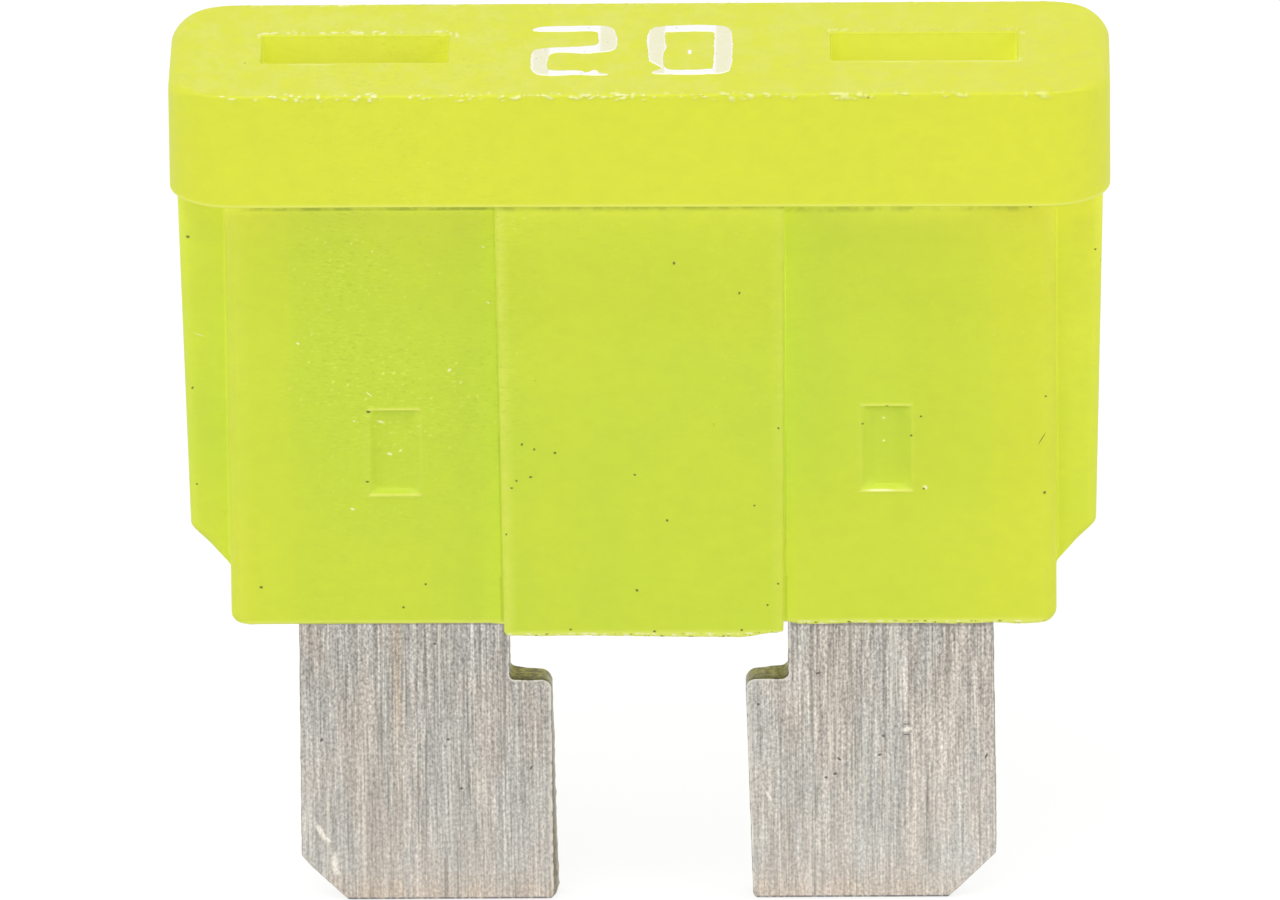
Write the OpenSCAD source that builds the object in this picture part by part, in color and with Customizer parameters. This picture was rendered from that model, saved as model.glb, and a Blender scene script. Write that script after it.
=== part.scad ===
// Automotive blade fuse, regular size, 20 A, in millimetres.
// A stamped metal strip with two plug-in blades sits in a one-piece moulded housing.
// Origin: middle of the housing's underside. +X runs across the blades, +Z up to the head,
// and the front face looks along -Y.

/* [Blades] */
// Distance from the outer edge of one blade to the outer edge of the other
blade_span = 14.28; // [12:0.02:18]
// Width of each blade
blade_width = 5.1; // [4:0.05:5.6]
// Length of the blades below the housing
blade_length = 6.8; // [5:0.1:12]
// Thickness of the metal strip
strip_thickness = 0.65; // [0.5:0.05:1]
// Corner cut off each blade's outer lower end
blade_chamfer = 1; // [0.4:0.05:1.6]
// Distance from the housing's underside down to the blade's shoulder
shoulder_drop = 1.87; // [1:0.01:3]
// How far the neck above the shoulder is narrower than the blade
neck_notch = 0.84; // [0.4:0.02:1.2]
// Radius in and on the shoulder's corners
shoulder_r = 0.2; // [0.08:0.01:0.35]

/* [Test tabs] */
// Depth of the metal's top edge below the top of the head
tab_recess = 1.3; // [0.8:0.05:2]
// Height of the narrow tab above the leg
tab_height = 2.2; // [1:0.1:3]
// Room between the tab's inner edge and the end of its slot
tab_side_gap = 0.1; // [0.05:0.01:0.3]

/* [Fuse link] */
// Width of the link
link_width = 0.9; // [0.5:0.05:1.1]
// Thickness of the link, coined thinner than the strip
link_thickness = 0.3; // [0.15:0.01:0.45]
// Height of the link's ends above the housing's underside
link_height = 3.6; // [2.5:0.1:4.5]
// Length of the link's straight rises
link_rise = 1.6; // [0.5:0.1:2.5]
// Radius of the link's top bend, to the middle of the metal
link_bend_r = 0.85; // [0.7:0.05:1.1]
// Radius of the bends at the link's feet, to the middle of the metal
link_foot_r = 0.6; // [0.56:0.02:0.8]

/* [Housing body] */
// Height of the body from its underside to the head
body_height = 9.46; // [8.5:0.1:14]
// Plastic beyond the end of the strip on each side
side_wall = 1.26; // [0.8:0.02:2]
// Plastic in front of and behind the strip
face_wall = 1.48; // [1.1:0.02:2]
// Radius of the body's upright edges
body_edge_r = 0.22; // [0.1:0.02:0.6]
// Radius of the body's lower end corners, seen from the front
body_bottom_r = 0.22; // [0.1:0.02:0.6]

/* [Centre panel] */
// Width of the raised panel where it meets the head
panel_width = 5.88; // [4.5:0.02:7]
// How much narrower the panel is at its lower end
panel_taper = 0.18; // [0:0.02:0.6]
// How far the panel stands out from the body
panel_proud = 0.59; // [0.3:0.01:1]
// Thickness of the plastic in front of the link chamber
panel_wall = 0.9; // [0.7:0.02:1.2]
// Radius of the panel's lower corners
panel_bottom_r = 0.15; // [0.05:0.01:0.4]
// Room between the top of the link and the roof of its chamber
chamber_room = 0.8; // [0.3:0.1:1.2]
// Plastic between the link chamber and the leg's inner edge
leg_guide = 0.28; // [0.1:0.02:0.6]

/* [Side wings] */
// How far each wing reaches out from the body under the head
wing_reach = 0.99; // [0.5:0.01:1.6]
// How much of that reach the wing loses by its lower end
wing_taper = 0.18; // [0:0.01:0.4]
// Thickness of the wings
wing_depth = 2.6; // [1.6:0.1:3.4]
// Height at which the wing's slanted end meets the body
wing_lift = 1.1; // [0.5:0.05:3]

/* [Head] */
// Height of the head
head_height = 2.44; // [2:0.02:4]
// How far the head reaches out over the wings
head_end_lip = 0.11; // [0.05:0.01:0.6]
// How far the head stands out over the centre panel
head_face_lip = 0.105; // [0.05:0.005:0.5]
// Radius of the head's upright corners, seen from above
head_corner_r = 1.6; // [0.8:0.05:2]
// Radius of the head's top end corners, seen from the front
head_end_r = 0.48; // [0.2:0.02:0.9]
// Width of each test slot in the top of the head
slot_width = 3.76; // [3:0.02:4.2]
// Depth of each test slot from front to back
slot_depth = 1.38; // [1:0.02:2]
// Distance from the end of the head to the test slot
slot_inset = 1.89; // [1.6:0.01:2.3]

/* [Staked spots] */
// Width of the pressed spots that lock the strip
stake_width = 1.12; // [0.7:0.02:1.6]
// Height of the pressed spots
stake_height = 1.92; // [1:0.02:2.6]
// Depth of the pressed spots
stake_depth = 0.2; // [0.05:0.01:0.4]
// Height of the middle of the spots above the housing's underside
stake_z = 3.83; // [2.5:0.01:4.5]
// How far the pressed plastic reaches into the hole in the strip
stake_reach = 0.2; // [0.1:0.01:0.22]

/* [Rating number] */
// Width of one digit
digit_width = 1.76; // [1.2:0.02:2]
// Height of the digits, from the front to the back of the head
digit_height = 2.72; // [2:0.02:3.4]
// Room between the two digits
digit_gap = 0.62; // [0.3:0.02:1]
// Width of the digits' sides, which stand along the head's depth
digit_side = 0.38; // [0.2:0.01:0.5]
// Width of the digits' bars, which run along the head
digit_bar = 0.3; // [0.2:0.01:0.4]
// Outer radius of the digits' corners
digit_corner_r = 0.3; // [0.15:0.01:0.4]
// Inner radius of the digits' corners
digit_inner_r = 0.1; // [0.05:0.01:0.2]
// Thickness of the stamped ink
ink_thickness = 0.03; // [0.01:0.01:0.1]
// Offset of the number to the left of the middle
digit_offset = 0.14; // [0:0.02:0.5]

/* [Clearances] */
// Room between the strip's faces and edges and the plastic
strip_gap = 0.05; // [0.02:0.01:0.1]
// Room between the pressed plastic and the edge of the hole in the strip
stake_gap = 0.12; // [0.05:0.01:0.25]

/* [Hidden] */
$fn = 48;

// How far cutters reach past the faces that they cut
over = 0.5;

// Places along X, from the middle outwards
blade_outer = blade_span / 2;
blade_inner = blade_outer - blade_width;
neck_inner = blade_inner + neck_notch;
leg_middle = (neck_inner + blade_outer) / 2;
chamber_half = neck_inner - leg_guide;
pocket_half = blade_outer + strip_gap;
body_half = pocket_half + side_wall;
wing_half = body_half + wing_reach;
head_half = wing_half + head_end_lip;
slot_outer = head_half - slot_inset;
slot_inner = slot_outer - slot_width;
tab_inner = slot_inner + tab_side_gap;

// Half thicknesses along Y
strip_half = strip_thickness / 2;
pocket_y = strip_half + strip_gap;
body_y = pocket_y + face_wall;
panel_y = body_y + panel_proud;
head_y = panel_y + head_face_lip;
chamber_y = panel_y - panel_wall;

// Places along Z, from the housing's underside
head_top = body_height + head_height;
tab_top = head_top - tab_recess;
leg_top = tab_top - tab_height;
link_bend_z = link_height + link_foot_r + link_rise;
chamber_height = link_bend_z + link_bend_r + link_width / 2 + chamber_room;

// The link's rises stand at the radius of its top bend
link_foot_x = link_bend_r + link_foot_r;

// A rectangle with round corners, centred on the origin
module round_rect(width, height, r) {
    square([width - 2 * r, height], center = true);
    square([width, height - 2 * r], center = true);
    for (x = [-1, 1], y = [-1, 1])
        translate([x * (width / 2 - r), y * (height / 2 - r)])
            circle(r = r);
}

// An upright outline drawn in X and Z, given a thickness on both sides of the middle plane
module through_y(half) {
    rotate([90, 0, 0])
        linear_extrude(height = 2 * half, center = true)
            children();
}

// Part of a flat ring between two angles that are at most 180 degrees apart
module ring_part(r, width, from, to) {
    reach = 3 * r + width;
    middle = (from + to) / 2;
    intersection() {
        difference() {
            circle(r = r + width / 2);
            circle(r = r - width / 2);
        }
        polygon([[0, 0], reach * [cos(from), sin(from)],
            reach * 2 * [cos(middle - (to - from) / 4), sin(middle - (to - from) / 4)],
            reach * 2 * [cos(middle + (to - from) / 4), sin(middle + (to - from) / 4)],
            reach * [cos(to), sin(to)]]);
    }
}

// The head seen from the front, with rounded top ends
module head_front_outline() {
    translate([-head_half, body_height])
        square([2 * head_half, head_height - head_end_r]);
    translate([-head_half + head_end_r, body_height])
        square([2 * (head_half - head_end_r), head_height]);
    for (side = [-1, 1])
        translate([side * (head_half - head_end_r), head_top - head_end_r])
            circle(r = head_end_r);
}

// The solid head, before its slots are cut
module head_block() {
    intersection() {
        translate([0, 0, body_height])
            linear_extrude(height = head_height)
                round_rect(2 * head_half, 2 * head_y, head_corner_r);
        through_y(head_y + over)
            head_front_outline();
    }
}

// An upright outline from the underside up into the head, with round lower corners
module skirt_outline(half_top, half_bottom, r) {
    top = body_height + head_height / 2;
    slope = (half_top - half_bottom) / body_height;
    polygon([[-half_bottom + r, 0], [half_bottom - r, 0], [half_bottom, r],
        [half_top + slope * (top - body_height), top],
        [-half_top - slope * (top - body_height), top], [-half_bottom, r]]);
    for (side = [-1, 1])
        translate([side * (half_bottom - r), r])
            circle(r = r);
}

// The thick part of the body, with rounded upright edges
module body_block() {
    intersection() {
        translate([0, 0, -over])
            linear_extrude(height = body_height + head_height / 2 + over)
                round_rect(2 * body_half, 2 * body_y, body_edge_r);
        through_y(body_y + over)
            skirt_outline(body_half, body_half, body_bottom_r);
    }
}

// The raised panel, one block that shows on both faces
module panel_block() {
    through_y(panel_y)
        skirt_outline(panel_width / 2, (panel_width - panel_taper) / 2, panel_bottom_r);
}

// Both side wings, with a slanted lower end
module wing_block() {
    low_half = wing_half - wing_taper;
    through_y(wing_depth / 2)
        for (side = [-1, 1])
            polygon([[side * pocket_half + side * side_wall / 2, wing_lift],
                [side * body_half, wing_lift],
                [side * low_half, wing_lift + low_half - body_half],
                [side * wing_half, body_height],
                [side * wing_half, body_height + head_height / 4],
                [side * pocket_half + side * side_wall / 2, body_height + head_height / 4]]);
}

// The pocket for the metal strip, open at the underside
module strip_pocket() {
    low = -over;
    translate([-pocket_half, -pocket_y, low])
        cube([2 * pocket_half, 2 * pocket_y, leg_top + strip_gap - low]);
    for (side = [0, 1])
        mirror([side, 0, 0])
            translate([tab_inner - strip_gap, -pocket_y, 0])
                cube([pocket_half - tab_inner + strip_gap, 2 * pocket_y, tab_top + strip_gap]);
}

// The wider chamber round the fuse link, open at the underside
module link_chamber() {
    translate([-chamber_half, -chamber_y, -over])
        cube([2 * chamber_half, 2 * chamber_y, chamber_height + over]);
}

// One test slot, from the top of the head down to the metal tab
module test_slot() {
    translate([slot_inner, -slot_depth / 2, tab_top])
        cube([slot_width, slot_depth, tab_recess + over]);
}

// The shape of one pressed spot, standing upright at the middle of a leg
module stake_prism(y_from, y_to) {
    translate([leg_middle - stake_width / 2, y_from, stake_z - stake_height / 2])
        cube([stake_width, y_to - y_from, stake_height]);
}

// One-piece moulded housing
module housing() {
    color("#d6e445")
        union() {
            difference() {
                union() {
                    head_block();
                    body_block();
                    panel_block();
                    wing_block();
                }
                strip_pocket();
                link_chamber();
                for (side = [0, 1])
                    mirror([side, 0, 0]) {
                        test_slot();
                        stake_prism(-body_y - over, -body_y + stake_depth);
                        stake_prism(body_y - stake_depth, body_y + over);
                    }
            }
            for (side = [0, 1], face = [0, 1])
                mirror([side, 0, 0])
                    mirror([0, face, 0])
                        stake_prism(strip_half - stake_reach, pocket_y + over);
        }
}

// Outline of one blade with its neck, leg and test tab, seen from the front
module leg_outline() {
    r = shoulder_r;
    low = -blade_length;
    shoulder = -shoulder_drop;
    difference() {
        union() {
            polygon([[blade_inner, low], [blade_outer - blade_chamfer, low],
                [blade_outer, low + blade_chamfer], [blade_outer, tab_top],
                [tab_inner, tab_top], [tab_inner, leg_top], [neck_inner, leg_top],
                [neck_inner, shoulder], [blade_inner + r, shoulder],
                [blade_inner, shoulder - r]]);
            translate([blade_inner + r, shoulder - r])
                circle(r = r);
            translate([neck_inner - r, shoulder - r])
                square([2 * r, 2 * r]);
        }
        translate([neck_inner - r, shoulder + r])
            circle(r = r);
    }
}

// Outline of the link: two feet, two rises and a round top bend
module link_outline() {
    half = link_width / 2;
    translate([0, link_bend_z])
        ring_part(link_bend_r, link_width, 0, 180);
    for (side = [0, 1])
        mirror([side, 0, 0]) {
            translate([link_bend_r - half, link_height + link_foot_r])
                square([link_width, link_rise]);
            translate([link_foot_x, link_height + link_foot_r])
                ring_part(link_foot_r, link_width, 180, 270);
            translate([link_foot_x, link_height - half])
                square([neck_inner - link_foot_x + half, link_width]);
        }
}

// One stamped strip with two blades, joined by the thin link
module fuse_element() {
    color("#c3bdb3")
        union() {
            difference() {
                through_y(strip_half)
                    for (side = [0, 1])
                        mirror([side, 0, 0])
                            leg_outline();
                for (side = [0, 1])
                    mirror([side, 0, 0])
                        translate([leg_middle, 0, stake_z])
                            cube([stake_width + 2 * stake_gap, strip_thickness + 2 * over,
                                stake_height + 2 * stake_gap], center = true);
            }
            through_y(link_thickness / 2)
                link_outline();
        }
}

// A rounded ring as wide as a digit, with thin bars across and wider sides
module digit_ring(height) {
    difference() {
        round_rect(digit_width, height, digit_corner_r);
        round_rect(digit_width - 2 * digit_side, height - 2 * digit_bar, digit_inner_r);
    }
}

// Half of a digit 2: a ring that is open on its left, below its top bar
module digit_hook() {
    height = (digit_height + digit_bar) / 2;
    open_width = max(digit_side, digit_corner_r);
    difference() {
        digit_ring(height);
        translate([-digit_width / 2 - over, -height / 2 - over])
            square([open_width + over, height - digit_bar + over]);
    }
}

// The digit 0
module digit_zero() {
    digit_ring(digit_height);
}

// The digit 2: one hook, and the same hook turned round below it
module digit_two() {
    middle = (digit_height - digit_bar) / 4;
    translate([0, middle])
        digit_hook();
    translate([0, -middle])
        rotate(180)
            digit_hook();
}

// The plain rating number, stamped in thin ink on the top of the head
module rating_digits() {
    pitch = digit_width + digit_gap;
    color("white")
        translate([-digit_offset, 0, head_top])
            linear_extrude(height = ink_thickness) {
                translate([-pitch / 2, 0])
                    digit_two();
                translate([pitch / 2, 0])
                    digit_zero();
            }
}

housing();
fuse_element();
rating_digits();
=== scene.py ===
"""Looks of a blade fuse: its moulded housing, stamped zinc strip and printed number, on a white floor.

Shapes are worked out in millimetres and scaled to metres when a mesh is made. Origin: middle of the
housing's underside, +Z up to the head, and the front face looks along -Y.
"""

import math
from functools import partial

import bmesh
import bpy
import numpy as np
from mathutils import Matrix, Vector
from mathutils.geometry import delaunay_2d_cdt


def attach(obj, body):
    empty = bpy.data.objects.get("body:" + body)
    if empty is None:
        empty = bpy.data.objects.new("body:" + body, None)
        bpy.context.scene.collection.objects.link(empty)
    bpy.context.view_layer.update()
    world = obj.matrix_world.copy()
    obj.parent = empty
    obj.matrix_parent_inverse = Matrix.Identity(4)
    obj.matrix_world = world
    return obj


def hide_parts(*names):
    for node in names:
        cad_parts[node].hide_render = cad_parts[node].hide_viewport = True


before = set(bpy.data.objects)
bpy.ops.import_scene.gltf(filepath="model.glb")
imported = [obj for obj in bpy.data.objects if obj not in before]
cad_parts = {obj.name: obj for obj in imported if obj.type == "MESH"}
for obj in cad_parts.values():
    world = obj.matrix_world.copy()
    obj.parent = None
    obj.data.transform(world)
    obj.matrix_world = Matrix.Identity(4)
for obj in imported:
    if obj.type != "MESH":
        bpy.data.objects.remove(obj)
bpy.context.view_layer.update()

MM = 0.001
WELD = 2e-4

# Strip, in mm
STRIP_HALF = 0.325
BLADE_OUTER = 7.14
BLADE_INNER = 2.04
NECK_INNER = 2.88
BLADE_LOW = -6.8
BLADE_CHAMFER = 1.0
STRIP_SHIFT = 0.04
SHOULDER_Z = -1.87
SHOULDER_R = 0.2
TAB_INNER = 4.0
TAB_TOP = 10.6
LEG_TOP = 8.4
LEG_MIDDLE = 5.01
WINDOW_HALF_X = 0.68
WINDOW_HALF_Z = 1.08
LINK_WIDTH = 0.9
LINK_HALF_THICK = 0.15
LINK_Z = 3.6
LINK_BEND_Z = 5.8
LINK_BEND_R = 0.85
LINK_FOOT_R = 0.6

# Housing, in mm
BODY_TOP = 9.46
HEAD_TOP = 11.9
HEAD_HALF = 9.55
HEAD_Y = 2.55
HEAD_CORNER_R = 1.32
HEAD_END_R = 0.32
HEAD_LIP_R = 0.035
HEAD_EDGE_R = 0.05
PANEL_HALF_TOP = 2.94
PANEL_HALF_LOW = 2.85
PANEL_Y = 2.445
BODY_HALF = 8.43
BODY_Y = 1.855
BODY_FOOT_R = 0.06
BODY_END_R = 0.24
BODY_ROOT_R = 0.035
WING_Y = 1.3
WING_LIFT = 1.12
WING_REACH_LOW = 0.815
WING_REACH_TOP = 0.98
WING_BLEND = 0.08
WING_FOOT = 0.06
POCKET_HALF = 7.19
POCKET_Y = 0.375
POCKET_TOP = 8.45
CHAMBER_HALF = 2.6
CHAMBER_Y = 1.545
CHAMBER_TOP = 7.9
SLOT_INNER = 3.88
SLOT_OUTER = 7.68
SLOT_Y = 0.73
SLOT_BACK = 0.8
SLOT_EDGE_R = 0.035
STAKE_HALF_X = 0.52
STAKE_HALF_Z = 0.93
STAKE_Z = 3.815
STAKE_SHIFT = -0.038
STAKE_SEEN = 0.13
STAKE_EDGE = 0.07

# Printed number, in mm
INK = 0.018
INK_SUNK = 0.02
INK_SHIFT = -0.016

# Points of the random grid along and across, and steps of the head's outline
NOISE_LONG, NOISE_WIDE = 1031, 131
HEAD_FRONT_STEPS, HEAD_CORNER_STEPS = 150, 22

# Columns on the flat of the body's front, from the panel to the edge, with close ones at the staked spot
STAKE_IN, STAKE_OUT = LEG_MIDDLE - STAKE_HALF_X, LEG_MIDDLE + STAKE_HALF_X
STAKE_LOW, STAKE_HIGH = STAKE_Z - STAKE_HALF_Z, STAKE_Z + STAKE_HALF_Z
BODY_COLUMNS = np.concatenate([
    np.linspace(3.15, 4.1, 8), np.linspace(4.25, STAKE_IN - STAKE_EDGE, 3),
    STAKE_IN + np.linspace(-0.05, 0.05, 5), np.linspace(STAKE_IN + STAKE_EDGE, STAKE_OUT - STAKE_EDGE, 9),
    STAKE_OUT + np.linspace(-0.05, 0.05, 5),
    np.linspace(STAKE_OUT + STAKE_EDGE, 5.9, 3), np.linspace(6.1, 7.95, 13),
])
# Heights of the body's rings
BODY_ROWS = np.concatenate([
    BODY_FOOT_R * (1 - np.cos(np.radians(np.linspace(0, 90, 7)))),
    [0.12, 0.16, BODY_END_R, 0.27, 0.4, 0.6, 0.8, 0.95],
    np.linspace(1.0, 2.1, 34),
    [2.25, 2.5, 2.7, STAKE_LOW - STAKE_EDGE],
    STAKE_LOW + np.linspace(-0.05, 0.1, 7),
    np.linspace(STAKE_LOW + 0.15, STAKE_HIGH - STAKE_EDGE, 10),
    STAKE_HIGH + np.linspace(-0.05, 0.1, 7),
    [STAKE_HIGH + 0.13],
    np.linspace(5.15, 9.0, 14),
    [9.11, 9.14, 9.17, 9.2, 9.3, 9.385, 9.405, 9.42],
    BODY_TOP - BODY_ROOT_R * (1 - np.sin(np.radians(np.linspace(0, 90, 5)))),
])
# Names of the housing's marks, numbers from 0 to 1 on its points that say where its material differs, both
# the plastic's own marks and painted highlights, painted shade and painted light
HOUSING_MARKS = ("edge", "foot", "root", "chip", "stake", "rim", "slot", "shelter", "lip")


def smooth_step(x, low, high):
    """3t^2 - 2t^3, where t is x taken from low..high to 0..1 and held inside that."""
    t = np.clip((x - low) / (high - low), 0.0, 1.0)
    return t * t * (3.0 - 2.0 * t)


def value_noise(x, y, size_x, size_y, seed):
    """Smooth noise from 0 to 1 over x and y: random numbers at grid points size_x by size_y mm apart,
    joined between them by 3t^2 - 2t^3 in both directions. A seed gives the same noise on every run."""
    table = np.random.default_rng(seed).random((NOISE_LONG, NOISE_WIDE))
    u, v = np.asarray(x, float) / size_x + 512.0, np.asarray(y, float) / size_y + 64.0
    i, j = np.floor(u).astype(int), np.floor(v).astype(int)
    s, t = smooth_step(u - i, 0.0, 1.0), smooth_step(v - j, 0.0, 1.0)
    i, j, i1, j1 = i % NOISE_LONG, j % NOISE_WIDE, (i + 1) % NOISE_LONG, (j + 1) % NOISE_WIDE
    low = table[i, j] * (1 - s) + table[i1, j] * s
    high = table[i, j1] * (1 - s) + table[i1, j1] * s
    return low * (1 - t) + high * t


def arc(cx, cy, r, start, stop, steps):
    """Points (cx + r cos t, cy + r sin t) with t from start to stop in degrees, in equal steps."""
    t = np.radians(np.linspace(start, stop, steps + 1))
    return cx + r * np.cos(t), cy + r * np.sin(t)


def rounded_outline(corners, radii, spacing, arc_step=12.0):
    """Closed outline with rounded corners, as points in the plane.

    Each corner is cut back along both its sides by r tan(turn / 2) and joined by an arc of radius r.
    The straight sides between the arcs are divided into steps no longer than spacing."""
    corners = np.asarray(corners, float)
    arcs = []
    befores, afters = np.roll(corners, 1, axis=0), np.roll(corners, -1, axis=0)
    for before, here, after, r in zip(befores, corners, afters, radii):
        come = (here - before) / np.linalg.norm(here - before)
        go = (after - here) / np.linalg.norm(after - here)
        turn = math.atan2(come[0] * go[1] - come[1] * go[0], come @ go)
        start = here - come * (r * math.tan(abs(turn) / 2))
        centre = start + np.array([-come[1], come[0]]) * math.copysign(1, turn) * r
        steps = max(2, int(math.ceil(math.degrees(abs(turn)) / arc_step)))
        t = np.linspace(0, turn, steps + 1)[:, None]
        spoke = start - centre
        arcs.append(centre + spoke * np.cos(t) + np.array([-spoke[1], spoke[0]]) * np.sin(t))
    points = []
    for bend, following in zip(arcs, arcs[1:] + arcs[:1]):
        side = following[0] - bend[-1]
        steps = max(1, int(math.ceil(np.linalg.norm(side) / spacing)))
        points += [bend, bend[-1] + side * np.linspace(0, 1, steps + 1)[1:-1, None]]
    outline = np.concatenate(points)
    gap = np.linalg.norm(outline - np.roll(outline, 1, axis=0), axis=1)
    return outline[gap > 1e-6]


def outline_normals(outline):
    """Unit normals of the sides that start at each point, and of the points, the mean of two sides'. They
    point to the right of the way the outline runs: out of one that runs anticlockwise."""
    step = np.roll(outline, -1, axis=0) - outline
    step /= np.linalg.norm(step, axis=1)[:, None]
    side = np.stack([step[:, 1], -step[:, 0]], axis=1)
    mean = side + np.roll(side, 1, axis=0)
    return side, mean / np.linalg.norm(mean, axis=1)[:, None]


def offset_outline(outline, distance):
    """The outline moved out by distance along its normals, with sharp corners kept full."""
    side, normal = outline_normals(outline)
    return outline + normal * (distance / np.sum(normal * side, axis=1))[:, None]


def roughened(outline, amount, seed):
    """The outline with its points moved along their normals by smooth noise of up to amount mm."""
    shift = value_noise(outline[:, 0], outline[:, 1], 0.11, 0.11, seed) - 0.5
    return outline + outline_normals(outline)[1] * (2 * amount * shift)[:, None]


def smooth_loop(points, spacing):
    """Closed curve through the points, by Catmull-Rom pieces: between two points it is the cubic that
    has, at each of them, half the step between their neighbours as its slope."""
    p = np.asarray(points, float)
    before, after, beyond = (np.roll(p, k, axis=0) for k in (1, -1, -2))
    pieces = []
    for k in range(len(p)):
        steps = max(1, int(math.ceil(np.linalg.norm(after[k] - p[k]) / spacing)))
        t = (np.arange(steps) / steps)[:, None]
        out, back = (after[k] - before[k]) / 2, (beyond[k] - p[k]) / 2
        pieces.append((2 * t ** 3 - 3 * t ** 2 + 1) * p[k] + (t ** 3 - 2 * t ** 2 + t) * out
                      + (3 * t ** 2 - 2 * t ** 3) * after[k] + (t ** 3 - t ** 2) * back)
    return np.concatenate(pieces)


def at_height(outline, z):
    """An outline in plan as points in space at height z."""
    return np.insert(outline, 2, z, axis=1)


def inside(points, loop):
    """True for each point inside the closed loop, by counting the sides that a ray along +X crosses."""
    x, y = points[:, None, 0], points[:, None, 1]
    ax, ay = loop[None, :, 0], loop[None, :, 1]
    bx, by = np.roll(ax, -1, axis=1), np.roll(ay, -1, axis=1)
    crosses = (ay > y) != (by > y)
    at = ax + (y - ay) * (bx - ax) / np.where(crosses, by - ay, 1.0)
    return (np.sum(crosses & (at > x), axis=1) % 2) == 1


def add_object(name, data):
    """A new object in the scene."""
    made = bpy.data.objects.new(name, data)
    bpy.context.scene.collection.objects.link(made)
    return made


class Skin:
    """Grids and flat fills of one piece, in mm, that are welded into one mesh at the end. Each of its
    points has a number for every mark, 0 where none is given."""

    def __init__(self, marks):
        self.points = []
        self.faces = []
        self.count = 0
        self.marks = {name: [] for name in marks}

    def add(self, points, faces, flip, marks):
        """Takes in points, the faces between them, turned round by flip, and the points' marks."""
        for name, values in self.marks.items():
            values.append(np.broadcast_to(marks.get(name, 0.0), points.shape[:-1]).ravel())
        points = points.reshape(-1, 3)
        self.points.append(points)
        self.faces += ((faces[:, ::-1] if flip else faces) + self.count).tolist()
        self.count += len(points)

    def grid(self, x, y, z, flip=False, **marks):
        """Quads between the rows and columns of three arrays, with the last column joined to the first.
        Faces look to the left of rows that go up while columns run on."""
        x, y, z = np.broadcast_arrays(x, y, z)
        index = np.arange(x.size).reshape(x.shape)
        following = np.roll(index, -1, axis=1)
        quads = np.stack([index[:-1], following[:-1], following[1:], index[1:]], axis=-1).reshape(-1, 4)
        self.add(np.stack([x, y, z], axis=-1), quads, flip, marks)

    def wall(self, *rings, flip=False, **marks):
        """Quads between rings of points."""
        self.grid(*np.moveaxis(np.stack(rings), -1, 0), flip=flip, **marks)

    def fill(self, loops, axes, flip=False, **marks):
        """Triangles of the flat region inside the first loop and outside the others. They join only the
        loops' own points, by constrained Delaunay triangulation in the plane of the two axes."""
        points = np.concatenate(loops)
        flat = points[:, axes]
        sides = []
        start = 0
        for loop in loops:
            i = np.arange(len(loop))
            sides += np.stack([start + i, start + (i + 1) % len(loop)], axis=1).tolist()
            start += len(loop)
        made = delaunay_2d_cdt([Vector(p) for p in flat], sides, [], 0, 1e-7)
        source = np.array([ids[0] if ids else -1 for ids in made[3]])
        triangles = source[np.array(made[2])]
        triangles = triangles[(triangles >= 0).all(axis=1)]
        middle = flat[triangles].mean(axis=1)
        keep = inside(middle, loops[0][:, axes])
        for loop in loops[1:]:
            keep &= ~inside(middle, loop[:, axes])
        self.add(points, triangles[keep], flip, marks)

    def make(self, name, sharp):
        """One mesh object in metres, with points closer than WELD merged and empty faces gone. Edges
        that fold by more than sharp degrees stay sharp."""
        mesh = bpy.data.meshes.new(name)
        points = np.concatenate(self.points) * MM
        mesh.from_pydata(points.tolist(), [], self.faces)
        for mark, values in self.marks.items():
            layer = mesh.attributes.new(mark, "FLOAT", "POINT")
            layer.data.foreach_set("value", np.concatenate(values).astype(np.float32))
        work = bmesh.new()
        work.from_mesh(mesh)
        bmesh.ops.remove_doubles(work, verts=work.verts, dist=WELD * MM)
        bmesh.ops.dissolve_degenerate(work, edges=work.edges, dist=1e-8)
        bmesh.ops.delete(work, geom=[v for v in work.verts if not v.link_faces], context="VERTS")
        work.to_mesh(mesh)
        work.free()
        mesh.polygons.foreach_set("use_smooth", np.ones(len(mesh.polygons), bool))
        mesh.update()
        mesh.set_sharp_from_angle(angle=math.radians(sharp))
        return add_object(name, mesh)


def whole_ring(quarter, at_end=1, at_middle=1):
    """A whole ring from its front right quarter, which runs from x = 0 in front to y = 0 at the end. Its
    numbers are mirrored at the end and then at the middle, each time with the sign given."""
    half = np.concatenate([quarter, at_end * quarter[..., -2::-1]], axis=-1)
    return np.concatenate([half, at_middle * half[..., -2:0:-1]], axis=-1)


def falling_inset(z, r):
    """How far a quarter circle of radius r pulls the wall in at height z above its foot."""
    rise = np.clip(z, 0.0, r)
    return r - np.sqrt(np.maximum(r * r - (r - rise) ** 2, 0.0))


def wing_reach(z):
    """How far the wing stands out from the body at height z: a slanted end that rises one to one from
    WING_LIFT, blended by a quadratic into the slightly tapered upright edge above it."""
    slant = z - WING_LIFT
    corner = WING_LIFT + WING_REACH_LOW
    upright = WING_REACH_LOW + (WING_REACH_TOP - WING_REACH_LOW) * (z - corner) / (BODY_TOP - corner)
    blend = np.maximum(WING_BLEND - np.abs(slant - upright), 0.0)
    reach = np.minimum(slant, upright) - blend * blend / (4 * WING_BLEND)
    foot = np.maximum(WING_FOOT - np.abs(reach), 0.0)
    reach = np.maximum(reach, 0.0) + foot * foot / (4 * WING_FOOT) * (z < 3)
    return np.where(z < WING_LIFT - WING_FOOT, 0.0, reach)


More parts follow.
